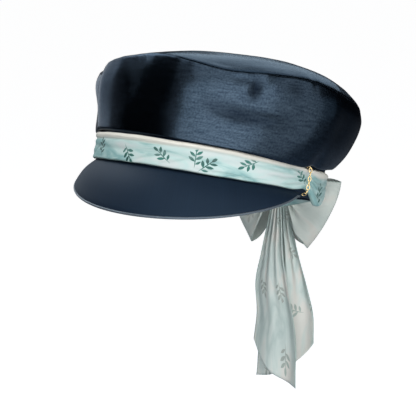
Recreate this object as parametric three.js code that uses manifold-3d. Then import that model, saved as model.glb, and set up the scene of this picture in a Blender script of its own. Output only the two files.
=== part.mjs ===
// A sailor cap: a soft satin crown with a domed tip, a headband and a stiff peak.
// A printed scarf runs round the headband through a chain keeper on each side, and is tied behind in a bow
// with two hanging tails. Millimetres, +Z up, -Y to the front, +X to the wearer's left.
// The origin is the middle of the head opening.
import * as THREE from "three";
import { mergeVertices } from "three/addons/utils/BufferGeometryUtils.js";
import Module from "manifold-3d";

const wasm = await Module();
wasm.setup();

// Driving sizes
const HEAD = { side: 82, front: 99, back: 99 }; // the head opening, 570 mm round
const WEAR_TILT = THREE.MathUtils.degToRad(16); // worn with the peak raised and the back low
const WEAR_LEAN = THREE.MathUtils.degToRad(2); // and a little to the wearer's left
const GAP = 0.3; // between pieces that are sewn or pressed together
const BAND_WALL = 2.4;
const BAND_HEIGHT = 24.6;
const CROWN_WALL = 2;
const AROUND = 60; // steps round the crown and the headband
const BAND_OUTER = grown(HEAD, BAND_WALL);

// The crown's side wall from the headband up to the seam: height over the rim, how far its outer face
// reaches, and how far it has slumped to the wearer's left
const CROWN_SECTIONS = [
  { z: BAND_HEIGHT + GAP, side: 84.6, front: 101.6, back: 101.6, shift: 0 },
  { z: 29, side: 90, front: 102, back: 110, shift: 0.5 },
  { z: 40, side: 96.5, front: 102, back: 119, shift: 1.5 },
  { z: 54, side: 101, front: 101.5, back: 126, shift: 2 },
  { z: 67, side: 102.5, front: 100, back: 129, shift: 2.5 },
  { z: 77, side: 100.5, front: 97.5, back: 127, shift: 2.5 },
];
const CROWN_ROWS = 9;
const HELD_FLAT = 0.35; // share of the side wall's height over which the headband fades its dents out
const SEAM_SLOPE = 0.055; // the seam stands higher in front than behind
const SEAM_LEAN = 0.02; // and on the wearer's left than on the right

// The seam's rise and fall round the crown: angles in degrees from the front to the wearer's left
const SEAM_WAVES = [
  { angle: -55, halfAngle: 16, lift: -9 },
  { angle: -5, halfAngle: 14, lift: 3 },
  { angle: 27, halfAngle: 13, lift: -3 },
  { angle: 66, halfAngle: 16, lift: 2 },
  { angle: 115, halfAngle: 18, lift: -1.5 },
  { angle: 190, halfAngle: 20, lift: 2 },
  { angle: 245, halfAngle: 18, lift: -3 },
];

// Dents pressed into the crown's side wall; a negative depth is a swelling
const DENTS = [
  { angle: -52, z: 58, halfAngle: 6, halfHeight: 22, depth: 5 },
  { angle: -41, z: 58, halfAngle: 6, halfHeight: 24, depth: -1.2 },
  { angle: -66, z: 66, halfAngle: 9, halfHeight: 16, depth: -2 },
  { angle: -70, z: 46, halfAngle: 20, halfHeight: 13, depth: 4 },
  { angle: 38.6, z: 67.5, halfAngle: 4, halfHeight: 7, depth: 2.6 },
  { angle: 38, z: 49, halfAngle: 14, halfHeight: 5.2, depth: 2.2 },
  { angle: 92, z: 56, halfAngle: 8, halfHeight: 20, depth: 2 },
  { angle: 140, z: 62, halfAngle: 8, halfHeight: 22, depth: 4 },
  { angle: 178, z: 54, halfAngle: 10, halfHeight: 14, depth: 3 },
  { angle: 222, z: 64, halfAngle: 7, halfHeight: 24, depth: 4.5 },
  { angle: 268, z: 56, halfAngle: 13, halfHeight: 6, depth: 3 },
  { angle: 300, z: 68, halfAngle: 7, halfHeight: 12, depth: 3 },
];

// The tip's dome: share of the way from its middle out to the seam, and rise over the seam
const DOME = [
  { share: 1, rise: 0 },
  { share: 0.96, rise: 3 },
  { share: 0.87, rise: 7 },
  { share: 0.72, rise: 12.5 },
  { share: 0.5, rise: 18.5 },
  { share: 0.25, rise: 22 },
  { share: 0, rise: 23 },
];
const DOME_ROWS = 6;
const TIP_MIDDLE = { x: 2.5, y: 20 }; // the dome's middle lies behind the origin
const PUFF = { share: 0.28, angle: 105 }; // the dome stands fuller on this side, and flatter on the other

// The peak: a stiff crescent, steepest at its ends
const PEAK = { reach: 15.5, drop: 33.5, halfAngle: 79, wall: 5, root: 3.4, endShare: 0.05 };
const PEAK_FULLNESS = { reach: 0.35, drop: 0.92 }; // how slowly the reach and the drop fade towards the ends
const PEAK_SWELL = { out: 2.4, up: 1.8 }; // how far its slope stands proud half way down
const PEAK_COLUMNS = 36;
const PEAK_ROWS = 5;

// The scarf round the headband: where it lies at each angle, and how far its folds stand from the headband
const SCARF_RUN = [
  { low: 3.9, high: 24 },
  { low: 3.9, high: 24 },
  { low: 4.5, high: 22.5 },
  { low: 2, high: 20.5 },
  { low: -12, high: 15 },
];
const SCARF_SAGS = [
  { angle: 100, halfAngle: 9, depth: 9 },
  { angle: -103, halfAngle: 11, depth: 6 },
]; // where its lower edge hangs loose behind the keepers
const SCARF_FOLDS = [
  { share: 0, depth: 0.8 },
  { share: 0.07, depth: 2 },
  { share: 0.3, depth: 2.7 },
  { share: 0.4, depth: 2 },
  { share: 0.62, depth: 3 },
  { share: 0.78, depth: 2.3 },
  { share: 0.94, depth: 3.2 },
  { share: 1, depth: 1.6 },
];
const FOLD_WANDER = { depth: 0.07, turns: 3, twist: 5 }; // how the inner folds wander up and down

// The chain keepers: oval links threaded over the scarf from one edge of it to the other
const LINK = { halfLength: 1.85, halfWidth: 1.15, wire: 0.35, sides: 10, wireSides: 5, pitch: 3.1 };
const KEEPER_ANGLE = 83.5;
const KEEPER_ROUTE = [
  { out: 1.1, z: 23.9 },
  { out: 3.4, z: 24.2 },
  { out: 5.1, z: 22 },
  { out: 5.3, z: 13.5 },
  { out: 5.1, z: 5.5 },
  { out: 3.4, z: 2.6 },
  { out: 1.1, z: 2 },
];

// The bow's knot: a squarish roll, its section round Z rippled
const CLOTH_WALL = 1;
const KNOT = { x: 6, y: 113, z: -28, halfWidth: 9, halfDepth: 11, halfHeight: 10.5 };
const KNOT_FORM = { square: 0.5, ripple: 0.07, ripples: 5, columns: 14, rows: 8 };

// The bow's strips: each row is a station, its middle and the half width from there to its upper or left edge
const LOOP_LEFT = [
  { x: 15.1, y: 110, z: -28, wx: 0, wy: 0, wz: 7, belly: 0 },
  { x: 26, y: 110, z: -36, wx: 6, wy: 1, wz: 22, belly: 1 },
  { x: 39, y: 114, z: -42, wx: 12, wy: 2, wz: 27, belly: 5 },
  { x: 42, y: 121.5, z: -46, wx: 14, wy: 3, wz: 29.5, belly: 6 },
  { x: 33, y: 129, z: -46, wx: 10, wy: 2, wz: 30, belly: 4 },
  { x: 20, y: 128, z: -43, wx: 9, wy: 1, wz: 24, belly: 1 },
  { x: 15.6, y: 120.5, z: -28, wx: 0, wy: 0, wz: 7, belly: 0 },
];
const LOOP_RIGHT = [
  { x: -3.6, y: 120.5, z: -28, wx: 0, wy: 0, wz: 7, belly: 0 },
  { x: -17, y: 128, z: -37, wx: -5, wy: 1, wz: 22, belly: -1 },
  { x: -29, y: 130, z: -44, wx: -9, wy: 2, wz: 28, belly: -4 },
  { x: -34, y: 122, z: -46, wx: -10, wy: 3, wz: 30, belly: -5 },
  { x: -30, y: 115, z: -43, wx: -9, wy: 2, wz: 28, belly: -4 },
  { x: -17, y: 110, z: -35, wx: -4, wy: 1, wz: 21, belly: -1 },
  { x: -3.1, y: 110, z: -28, wx: 0, wy: 0, wz: 7, belly: 0 },
];
const TAIL_LEFT = [
  { x: 8, y: 117.5, z: -38.9, wx: 4.5, wy: 0, wz: 0, corner: 0 },
  { x: 8.5, y: 117, z: -58, wx: 7, wy: 0.5, wz: 0, corner: 0 },
  { x: 11.5, y: 115.5, z: -82, wx: 10.5, wy: 1, wz: 0, corner: 0 },
  { x: 13, y: 114, z: -111, wx: 17, wy: 2, wz: 1, corner: 2 },
  { x: 13, y: 112, z: -146, wx: 24, wy: 3, wz: 3, corner: 10 },
  { x: 12, y: 111, z: -188, wx: 26.5, wy: 3, wz: 5, corner: 26 },
];
const TAIL_RIGHT = [
  { x: 4, y: 112, z: -38.9, wx: 4.5, wy: 0, wz: 0, corner: 0 },
  { x: 3, y: 109.5, z: -58, wx: 7.5, wy: -0.5, wz: 0, corner: 0 },
  { x: 1.5, y: 107.5, z: -82, wx: 11, wy: -1, wz: 0, corner: 0 },
  { x: 2, y: 105.5, z: -111, wx: 17, wy: -2, wz: -1, corner: -2 },
  { x: 7, y: 103.5, z: -146, wx: 20, wy: -2, wz: -3, corner: -10 },
  { x: 6.5, y: 102.5, z: -190, wx: 22, wy: -2, wz: -5, corner: -26 },
];
const GATHERS = { count: 3, depth: 1 }; // pleats where a strip leaves the knot
const BILLOW = { count: 1.5, depth: 3, twist: 2, loopShare: 0.4 }; // slow waves across a strip's free length
const HEM_ROUND = 2.5; // how closely a tail's lifted hem keeps to its corner
const LOOP_GRID = { columns: 20, rows: 7 };
const TAIL_GRID = { columns: 14, rows: 7 };

const SATIN = new THREE.MeshStandardMaterial({ color: 0x1f2c44, roughness: 0.38 });
const SATIN_FIRM = new THREE.MeshStandardMaterial({ color: 0x222f47, roughness: 0.5 });
const CHIFFON = new THREE.MeshStandardMaterial({ color: 0xdfe9e6, roughness: 0.7 });
const GOLD = new THREE.MeshStandardMaterial({ color: 0xc9a660, roughness: 0.3, metalness: 1 });

const UP = new THREE.Vector3(0, 0, 1);

// An oval with every reach made longer by the same amount
function grown(oval, by) {
  return { side: oval.side + by, front: oval.front + by, back: oval.back + by };
}

// A point on an oval: angle 0 is the front, a quarter turn is the wearer's left
function ovalPoint(oval, angle, z) {
  const reach = Math.cos(angle) > 0 ? oval.front : oval.back;
  return new THREE.Vector3(oval.side * Math.sin(angle), -reach * Math.cos(angle), z);
}

// The level direction straight out of an oval
function ovalOut(oval, angle) {
  const reach = Math.cos(angle) > 0 ? oval.front : oval.back;
  return new THREE.Vector3(Math.sin(angle) / oval.side, -Math.cos(angle) / reach, 0).normalize();
}

// A smooth reading of a table, whose first row is at 0 and last at 1
function tableSpline(rows) {
  const names = Object.keys(rows[0]);
  const places = rows.map((row, i) => i / (rows.length - 1));
  const values = rows.flatMap((row) => names.map((name) => row[name]));
  const spline = new THREE.CubicInterpolant(places, values, names.length);
  return (t) => {
    const read = spline.evaluate(t);
    return Object.fromEntries(names.map((name, i) => [name, read[i]]));
  };
}

// The share of a bump that is left at some distance from its middle, going the short way round
function bump(angle, middle, halfAngle) {
  const apart = THREE.MathUtils.euclideanModulo(THREE.MathUtils.radToDeg(angle) - middle + 180, 360) - 180;
  return Math.exp(-((apart / halfAngle) ** 2));
}

function seamWave(angle) {
  return SEAM_WAVES.reduce((sum, wave) => sum + wave.lift * bump(angle, wave.angle, wave.halfAngle), 0);
}

function dentDepth(angle, z) {
  return DENTS.reduce((sum, dent) => {
    const level = Math.exp(-(((z - dent.z) / dent.halfHeight) ** 2));
    return sum + dent.depth * level * bump(angle, dent.angle, dent.halfAngle);
  }, 0);
}

function geometryOf(points, triangles) {
  const geometry = new THREE.BufferGeometry().setFromPoints(points);
  geometry.setIndex(triangles.flat());
  geometry.computeVertexNormals();
  return geometry;
}

// Two triangles for the four corners of a patch, in order round it
function patch(a, b, c, d) {
  return [
    [a, b, c],
    [a, c, d],
  ];
}

// A wall of even thickness under the surface point(u, v), whose outer face is where u turns into v.
// closed joins the first column to the last, and pole gathers the last row into one point.
// facing(u, v) may name the way that the outer face looks there, so that a rim is cut to fit its neighbour.
function wall(point, { columns, rows, thickness, closed, pole, facing = () => null }) {
  const across = closed ? columns : columns + 1;
  const levels = pole ? rows : rows + 1;
  const at = (i, j) => point(closed ? i / columns : THREE.MathUtils.clamp(i / columns, 0, 1), j / rows);
  const outer = [];
  const inner = [];
  const middleNormal = new THREE.Vector3();
  for (let j = 0; j < levels; j++) {
    for (let i = 0; i < across; i++) {
      const along = at(i + 1, j).sub(at(i - 1, j));
      const up = at(i, Math.min(j + 1, rows)).sub(at(i, Math.max(j - 1, 0)));
      const normal = facing(i / columns, j / rows) ?? along.cross(up).normalize();
      outer.push(at(i, j));
      inner.push(at(i, j).addScaledVector(normal, -thickness));
      if (j === levels - 1) middleNormal.add(normal);
    }
  }
  const points = [...outer, ...inner];
  const index = (i, j) => j * across + (i % across);
  const inside = outer.length;
  const triangles = [];
  for (let j = 0; j < levels - 1; j++) {
    for (let i = 0; i < columns; i++) {
      const corners = [index(i, j), index(i + 1, j), index(i + 1, j + 1), index(i, j + 1)];
      triangles.push(...patch(...corners));
      triangles.push(...patch(...corners.reverse().map((k) => k + inside)));
    }
  }
  for (let i = 0; i < columns; i++) {
    const low = [index(i, 0), index(i + 1, 0)];
    triangles.push(...patch(low[1], low[0], low[0] + inside, low[1] + inside));
    const high = [index(i, levels - 1), index(i + 1, levels - 1)];
    if (pole) {
      triangles.push([high[0], high[1], points.length]);
      triangles.push([high[1] + inside, high[0] + inside, points.length + 1]);
    } else {
      triangles.push(...patch(high[0], high[1], high[1] + inside, high[0] + inside));
    }
  }
  if (pole) {
    points.push(at(0, rows), at(0, rows).addScaledVector(middleNormal.normalize(), -thickness));
  }
  for (let j = 0; !closed && j < rows; j++) {
    const first = [index(0, j), index(0, j + 1)];
    triangles.push(...patch(first[0], first[1], first[1] + inside, first[0] + inside));
    const last = [index(columns, j), index(columns, j + 1)];
    triangles.push(...patch(last[1], last[0], last[0] + inside, last[1] + inside));
  }
  return geometryOf(points, triangles);
}

// A solid ring: a closed section carried once round the oval
function ring(point, columns, sides) {
  const points = [];
  const triangles = [];
  const index = (i, k) => (i % columns) * sides + (k % sides);
  for (let i = 0; i < columns; i++) {
    for (let k = 0; k < sides; k++) {
      points.push(point((i / columns) * 2 * Math.PI, k));
      triangles.push(...patch(index(i, k), index(i + 1, k), index(i + 1, k + 1), index(i, k + 1)));
    }
  }
  return geometryOf(points, triangles);
}

function piece(name, geometry, material) {
  const mesh = new THREE.Mesh(geometry, material);
  mesh.name = name;
  return mesh;
}

// A point of the crown's side wall, share 0 at the headband and 1 at the seam
const crownSection = tableSpline(CROWN_SECTIONS);
function crownPoint(angle, share) {
  const section = crownSection(share);
  const place = ovalPoint(section, angle, section.z);
  place.x += section.shift;
  const free = THREE.MathUtils.smoothstep(share, 0, HELD_FLAT);
  place.addScaledVector(ovalOut(section, angle), -free * dentDepth(angle, section.z));
  place.z += share * share * (seamWave(angle) - SEAM_SLOPE * place.y + SEAM_LEAN * place.x);
  return place;
}

const domeSection = tableSpline(DOME);
function tipPoint(angle, share) {
  const section = domeSection(share);
  const level = CROWN_SECTIONS.at(-1).z - SEAM_SLOPE * TIP_MIDDLE.y;
  const middle = new THREE.Vector3(TIP_MIDDLE.x, TIP_MIDDLE.y, level);
  const place = crownPoint(angle, 1).sub(middle).multiplyScalar(section.share).add(middle);
  const fuller = PUFF.share * section.share * Math.cos(angle - THREE.MathUtils.degToRad(PUFF.angle));
  place.z += section.rise * (1 + fuller) + GAP;
  return place;
}

// The way out of the headband, at a share of the way round it
function bandOut(u) {
  return ovalOut(BAND_OUTER, u * 2 * Math.PI);
}

function headband() {
  const point = (u, v) => ovalPoint(BAND_OUTER, u * 2 * Math.PI, v * BAND_HEIGHT);
  return wall(point, { columns: AROUND, rows: 1, thickness: BAND_WALL, closed: true });
}

function crownSide() {
  const point = (u, v) => crownPoint(u * 2 * Math.PI, v);
  return wall(point, {
    columns: AROUND,
    rows: CROWN_ROWS,
    thickness: CROWN_WALL,
    closed: true,
    facing: (u, v) => (v === 0 || v === 1 ? bandOut(u) : null),
  });
}

function crownTip() {
  const point = (u, v) => tipPoint(u * 2 * Math.PI, v);
  return wall(point, {
    columns: AROUND,
    rows: DOME_ROWS,
    thickness: CROWN_WALL,
    closed: true,
    pole: true,
    facing: (u, v) => (v === 0 ? bandOut(u) : null),
  });
}

// The peak runs from its root against the headband out to its edge
function peak() {
  const root = grown(BAND_OUTER, GAP);
  const point = (u, v) => {
    const turn = 2 * u - 1;
    const angle = THREE.MathUtils.degToRad(turn * PEAK.halfAngle);
    const share = Math.max(Math.cos(turn * Math.PI * 0.5), PEAK.endShare);
    const place = ovalPoint(root, angle, PEAK.root);
    const swell = Math.sin(v * Math.PI) * share;
    const reach = v * PEAK.reach * share ** PEAK_FULLNESS.reach + PEAK_SWELL.out * swell;
    place.addScaledVector(ovalOut(root, angle), reach);
    place.z += -v * PEAK.drop * share ** PEAK_FULLNESS.drop + PEAK_SWELL.up * swell;
    return place;
  };
  return wall((u, v) => point(u, 1 - v), {
    columns: PEAK_COLUMNS,
    rows: PEAK_ROWS,
    thickness: PEAK.wall,
    facing: () => UP,
  });
}

function scarfSag(angle) {
  return SCARF_SAGS.reduce((sum, sag) => sum + sag.depth * bump(angle, sag.angle, sag.halfAngle), 0);
}

// The scarf's section: up its folded outer face, and down its flat back against the headband
const scarfRun = tableSpline(SCARF_RUN);
function scarfBand() {
  const point = (angle, k) => {
    const behind = Math.acos(Math.cos(angle)) / Math.PI;
    const run = scarfRun(behind);
    const fold = SCARF_FOLDS[k] ?? { share: k === SCARF_FOLDS.length ? 1 : 0, depth: 0 };
    const free = Math.sin(fold.share * Math.PI) ** 2;
    const wander = Math.sin(FOLD_WANDER.turns * angle + FOLD_WANDER.twist * fold.share);
    const share = fold.share + free * FOLD_WANDER.depth * wander;
    const z = THREE.MathUtils.lerp(run.low - scarfSag(angle), run.high, share);
    return ovalPoint(BAND_OUTER, angle, z).addScaledVector(ovalOut(BAND_OUTER, angle), GAP + fold.depth);
  };
  return ring(point, AROUND, SCARF_FOLDS.length + 2);
}

function solidOf(geometry) {
  const bare = geometry.clone();
  bare.deleteAttribute("normal");
  bare.deleteAttribute("uv");
  const welded = mergeVertices(bare);
  const triVerts = new Uint32Array(welded.index.array);
  const vertProperties = welded.attributes.position.array;
  return new wasm.Manifold(new wasm.Mesh({ numProp: 3, vertProperties, triVerts }));
}

function geometryOfSolid(solid) {
  const { vertProperties, triVerts } = solid.getMesh();
  const geometry = new THREE.BufferGeometry();
  geometry.setAttribute("position", new THREE.BufferAttribute(vertProperties, 3));
  geometry.setIndex(new THREE.BufferAttribute(triVerts, 1));
  geometry.computeVertexNormals();
  return geometry;
}

// A row of interlocking links along the keeper's route, each turned a quarter turn from the last
function keeperChain(side) {
  const angle = THREE.MathUtils.degToRad(side * KEEPER_ANGLE);
  const out = ovalOut(BAND_OUTER, angle);
  const route = new THREE.CatmullRomCurve3(
    KEEPER_ROUTE.map((row) => ovalPoint(BAND_OUTER, angle, row.z).addScaledVector(out, row.out)),
  );
  const count = Math.round(route.getLength() / LINK.pitch);
  const across = new THREE.Vector3(-out.y, out.x, 0);
  const wire = new THREE.TorusGeometry(LINK.halfWidth, LINK.wire, LINK.wireSides, LINK.sides);
  let chain = null;
  for (let i = 0; i < count; i++) {
    const share = (i + 0.5) / count;
    const along = route.getTangentAt(share);
    const flat = new THREE.Matrix4().makeBasis(along, across, along.clone().cross(across));
    const quarter = new THREE.Matrix4().makeRotationX((i % 2 ? 1 : -1) * Math.PI * 0.25);
    const longer = new THREE.Matrix4().makeScale(LINK.halfLength / LINK.halfWidth, 1, 1);
    const link = wire.clone().applyMatrix4(flat.multiply(quarter).multiply(longer));
    link.translate(...route.getPointAt(share).toArray());
    chain = chain ? chain.add(solidOf(link)) : solidOf(link);
  }
  return geometryOfSolid(chain);
}

// How far a hem is lifted towards its rounded corner, which is on the left for a positive lift
function cornerLift(lift, side) {
  return Math.abs(lift) * ((1 + Math.sign(lift) * side) / 2) ** HEM_ROUND;
}

// A cloth strip through its stations, pleated at the end or ends that the knot holds
function strip(stations, { columns, rows, bothEnds }) {
  const station = tableSpline(stations);
  const point = (u, v) => {
    const here = station(u);
    const side = 2 * v - 1;
    const place = new THREE.Vector3(here.x, here.y, here.z);
    place.addScaledVector(new THREE.Vector3(here.wx, here.wy, here.wz), side);
    place.x += (here.belly ?? 0) * (1 - side * side);
    place.z += cornerLift(here.corner ?? 0, side);
    const free = bothEnds ? Math.sin(u * Math.PI) : u;
    const pleat = GATHERS.depth * Math.cos(GATHERS.count * 2 * Math.PI * v) * (1 - free) ** 2;
    const wave = Math.sin(BILLOW.count * 2 * Math.PI * v + BILLOW.twist * u);
    place.y += pleat + (bothEnds ? BILLOW.loopShare : 1) * BILLOW.depth * wave * free;
    return place;
  };
  return wall(point, { columns, rows, thickness: CLOTH_WALL });
}

function bowLoop(stations) {
  return strip(stations, { ...LOOP_GRID, bothEnds: true });
}

function bowTail(stations) {
  return strip(stations, { ...TAIL_GRID, bothEnds: false });
}

// The knot: a ball drawn out towards a box, with upright ripples
function bowKnot() {
  const knot = new THREE.SphereGeometry(1, KNOT_FORM.columns, KNOT_FORM.rows).rotateX(Math.PI / 2);
  knot.deleteAttribute("normal");
  knot.deleteAttribute("uv");
  const welded = mergeVertices(knot);
  const place = new THREE.Vector3();
  for (let i = 0; i < welded.attributes.position.count; i++) {
    place.fromBufferAttribute(welded.attributes.position, i);
    const ripple = 1 + KNOT_FORM.ripple * Math.cos(KNOT_FORM.ripples * Math.atan2(place.x, place.y));
    place.set(...place.toArray().map((along) => Math.sign(along) * Math.abs(along) ** KNOT_FORM.square));
    place.multiply(new THREE.Vector3(KNOT.halfWidth * ripple, KNOT.halfDepth * ripple, KNOT.halfHeight));
    welded.attributes.position.setXYZ(i, place.x + KNOT.x, place.y + KNOT.y, place.z + KNOT.z);
  }
  welded.computeVertexNormals();
  return welded;
}

const cap = new THREE.Group();
cap.rotation.set(-WEAR_TILT, WEAR_LEAN, 0, "YXZ");
cap.add(
  piece("crown_tip", crownTip(), SATIN),
  piece("crown_side", crownSide(), SATIN),
  piece("headband", headband(), SATIN_FIRM),
  piece("peak", peak(), SATIN_FIRM),
  piece("scarf_band", scarfBand(), CHIFFON),
  piece("keeper_chain_left", keeperChain(1), GOLD),
  piece("keeper_chain_right", keeperChain(-1), GOLD),
);

const bow = new THREE.Group();
bow.add(
  piece("bow_knot", bowKnot(), CHIFFON),
  piece("bow_loop_left", bowLoop(LOOP_LEFT), CHIFFON),
  piece("bow_loop_right", bowLoop(LOOP_RIGHT), CHIFFON),
  piece("bow_tail_left", bowTail(TAIL_LEFT), CHIFFON),
  piece("bow_tail_right", bowTail(TAIL_RIGHT), CHIFFON),
);

const sailorCap = new THREE.Group();
sailorCap.add(cap, bow);
export default sailorCap;
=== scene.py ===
"""The looks of a satin sailor cap with a printed scarf tied round it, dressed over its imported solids."""
import math
from collections import namedtuple

import bmesh
import bpy
from mathutils import Matrix, Vector, noise


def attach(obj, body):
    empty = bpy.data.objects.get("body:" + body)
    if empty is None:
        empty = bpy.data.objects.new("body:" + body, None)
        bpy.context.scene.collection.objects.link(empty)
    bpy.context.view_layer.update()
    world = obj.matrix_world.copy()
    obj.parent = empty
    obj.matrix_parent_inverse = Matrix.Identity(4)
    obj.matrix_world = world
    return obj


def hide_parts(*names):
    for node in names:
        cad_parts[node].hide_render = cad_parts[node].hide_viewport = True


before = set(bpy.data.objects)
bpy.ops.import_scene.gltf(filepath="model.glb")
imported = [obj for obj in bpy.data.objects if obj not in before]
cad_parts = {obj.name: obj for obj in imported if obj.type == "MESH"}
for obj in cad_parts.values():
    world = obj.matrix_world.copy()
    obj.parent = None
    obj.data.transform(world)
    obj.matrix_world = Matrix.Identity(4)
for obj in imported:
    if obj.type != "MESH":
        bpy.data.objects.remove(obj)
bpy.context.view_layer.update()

# Lengths are millimetres until a finished piece is scaled to metres; angles run from the front to the left
MM = 0.001
UP = Vector((0, 0, 1))
TURN = 2 * math.pi
SPIN_RADIUS = 100
MERGE_WITHIN = 0.005
ROW_CROWDING = 1.5
SHARP_ANGLE = math.radians(57)

Oval = namedtuple("Oval", "side front back")
Section = namedtuple("Section", "z side front back shift")
Wave = namedtuple("Wave", "angle half_angle lift")
Dent = namedtuple("Dent", "angle z half_angle half_height depth")
CreasePoint = namedtuple("CreasePoint", "angle z depth")
Dome = namedtuple("Dome", "share rise")
Run = namedtuple("Run", "low high")
Fold = namedtuple("Fold", "start start_share end end_share half_width depth")
RoutePoint = namedtuple("RoutePoint", "out z")
Light = namedtuple("Light", "name azimuth elevation distance width height watts spread colour")
Leaf = namedtuple("Leaf", "x y turn half_width half_length")
Satin = namedtuple("Satin", "name dark light roughness specular tint metallic")
Chiffon = namedtuple("Chiffon", "name ground wash left_out border")
Station = namedtuple("Station", "x y z wx wy wz belly corner")
Relief = namedtuple("Relief", "strength distance")
Sway = namedtuple("Sway", "middle most waves start")
Strip = namedtuple("Strip", "name node stations grid seed length finish loop")

# A cut is the cloth's length round a full turn, and its width for each 1 that its section goes up, in m
Cut = namedtuple("Cut", "length width")

# The head opening, how the cap is worn, and the gap between pieces that touch
HEAD = Oval(82, 99, 99)
WEAR_TILT = math.radians(16)
WEAR_LEAN = math.radians(2)
WORN = Matrix.Rotation(WEAR_LEAN, 4, "Y") @ Matrix.Rotation(-WEAR_TILT, 4, "X")
GAP = 0.3

# The headband
BAND_WALL = 2.4
BAND_HEIGHT = 24.6
BAND_TUCK = 0.45
BAND_TOP = BAND_HEIGHT + BAND_TUCK
BAND_OUTER = Oval(*(reach + BAND_WALL for reach in HEAD))
BAND_EDGE = 0.9
BAND_EDGE_STEPS = 3
BAND_STEPS = 240
BAND_CUT = Cut(0.59, MM)

# The crown's side wall from the headband up to the seam
CROWN_SECTIONS = [
    Section(BAND_HEIGHT + GAP, 84.6, 101.6, 101.6, 0),
    Section(29, 90, 102, 110, 0.5),
    Section(40, 96.5, 102, 119, 1.5),
    Section(54, 101, 101.5, 126, 2),
    Section(67, 102.5, 100, 129, 2.5),
    Section(77, 100.5, 97.5, 127, 2.5),
]
CROWN_HEIGHT = CROWN_SECTIONS[-1].z - CROWN_SECTIONS[0].z
CROWN_ROWS = 48
CROWN_STEPS = 420
CROWN_CLOTH = 1.2
CROWN_CUT = Cut(0.63, 0.055)
HELD_FLAT = 0.35
SEAM_SLOPE = 0.055
SEAM_LEAN = 0.02
SLUMP = Wave(-55, 16, -9)
SEAM_WAVES = [
    Wave(-5, 14, 3),
    Wave(27, 13, -3),
    Wave(66, 16, 2),
    Wave(115, 18, -1.5),
    Wave(190, 20, 2),
    Wave(245, 18, -3),
]
DENTS = [
    Dent(-52, 58, 6, 22, 5),
    Dent(-41, 58, 6, 24, -1.2),
    Dent(-66, 66, 9, 16, -2),
    Dent(-70, 46, 20, 13, 4),
    Dent(92, 56, 8, 20, 2),
    Dent(140, 62, 8, 22, 4),
    Dent(178, 54, 10, 14, 3),
    Dent(222, 64, 7, 24, 4.5),
    Dent(268, 56, 13, 6, 3),
    Dent(300, 68, 7, 12, 3),
]

# Tight folds in the crown's wall: pinches under the seam, and a smile-shaped crease on either side
PINCHES = [
    Dent(38.6, 67.5, 2.6, 7, 2.6),
    Dent(32, 72.5, 3, 2.5, 0.9),
    Dent(57, 71, 4.5, 5, 1.2),
]
CREASES = [
    [
        CreasePoint(14, 56, 0),
        CreasePoint(24, 52, 1.3),
        CreasePoint(34, 49.3, 2.2),
        CreasePoint(44, 47.8, 2),
        CreasePoint(54, 47.2, 1.1),
        CreasePoint(64, 48.5, 0),
    ],
    [
        CreasePoint(255, 58, 0),
        CreasePoint(268, 54, 1.6),
        CreasePoint(282, 56, 0),
    ],
]
CREASE_HALF_WIDTH = 5.2

# How much painted shade darkens a tight fold inside, and the depth where the painted shade is darkest
SHADE_MOST = 0.85
SHADE_FULL = 2.6

# How the crown puffs out over the scarf's upper edge, and hangs down to it
PUFF_RISE = 3
PUFF_FADE = 11
PUFFS_OUT = [Wave(42, 36, 4.6), Wave(88, 24, 2), Wave(-85, 40, 3)]
PUFFS_DOWN = [Wave(74, 34, 8.5), Wave(22, 26, 2.8), Wave(-80, 36, 6)]
KEEPER_HOLD = 0.4

# The cloth at the seam, drawn in, turned in and puckered, and how slack cloth wobbles
SEAM_DIP = 0.5
SEAM_DIP_REACH = 0.6
SEAM_ALLOWANCE = 3.2
PUCKER = 0.35
PUCKER_LENGTH = 6
PUCKER_REACH = 7
WOBBLES = [(30, 0.6), (14, 0.12)]
WOBBLE_SHIFT = Vector((7.3, 3.1, 5.7))

# The tip's dome, from the seam to its middle
DOME = [
    Dome(1, 0),
    Dome(0.96, 2),
    Dome(0.87, 6.1),
    Dome(0.72, 11.9),
    Dome(0.5, 18.5),
    Dome(0.25, 22),
    Dome(0, 23),
]
TIP_MIDDLE = Vector((2.5, 20, CROWN_SECTIONS[-1].z - SEAM_SLOPE * 20))
TIP_ROWS = 46
TIP_CUT = Cut(0.63, 0.11)
TIP_HELD = 8
TIP_EVEN = 24
TIP_EVEN_ROUNDS = 20
WAVE_FADE = 4
SLUMP_FADE = 2.3
SHOULDER = Wave(92, 42, 8)
SHOULDER_FROM = 4
SHOULDER_TO = 12
PUFF_SHARE = 0.28
PUFF_ANGLE = math.radians(105)

# The peak
PEAK_REACH = 15.5
PEAK_DROP = 33.5
PEAK_HALF_ANGLE = math.radians(79)
PEAK_WALL = 5
PEAK_END_WALL = 0.25
PEAK_ROOT = 3.4
PEAK_END_SHARE = 0.05
PEAK_REACH_FULLNESS = 0.35
PEAK_DROP_FULLNESS = 0.92
PEAK_SWELL_OUT = 2.4
PEAK_SWELL_UP = 1.8
PEAK_STEPS = 150
PEAK_ROWS = 14
PEAK_CUT = Cut(0.6, 0.036)
PEAK_RIM = [(0.975, 0.04), (0.995, 0.2), (1, 0.45), (1, 0.7), (0.985, 0.92), (0.955, 1)]
PIPING_RADIUS = 0.85
PIPING_AT = 0.6
PIPING_SIDES = 12
PIPING_REACH = 0.985
PIPING_CUT = Cut(0.3, MM)

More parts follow.
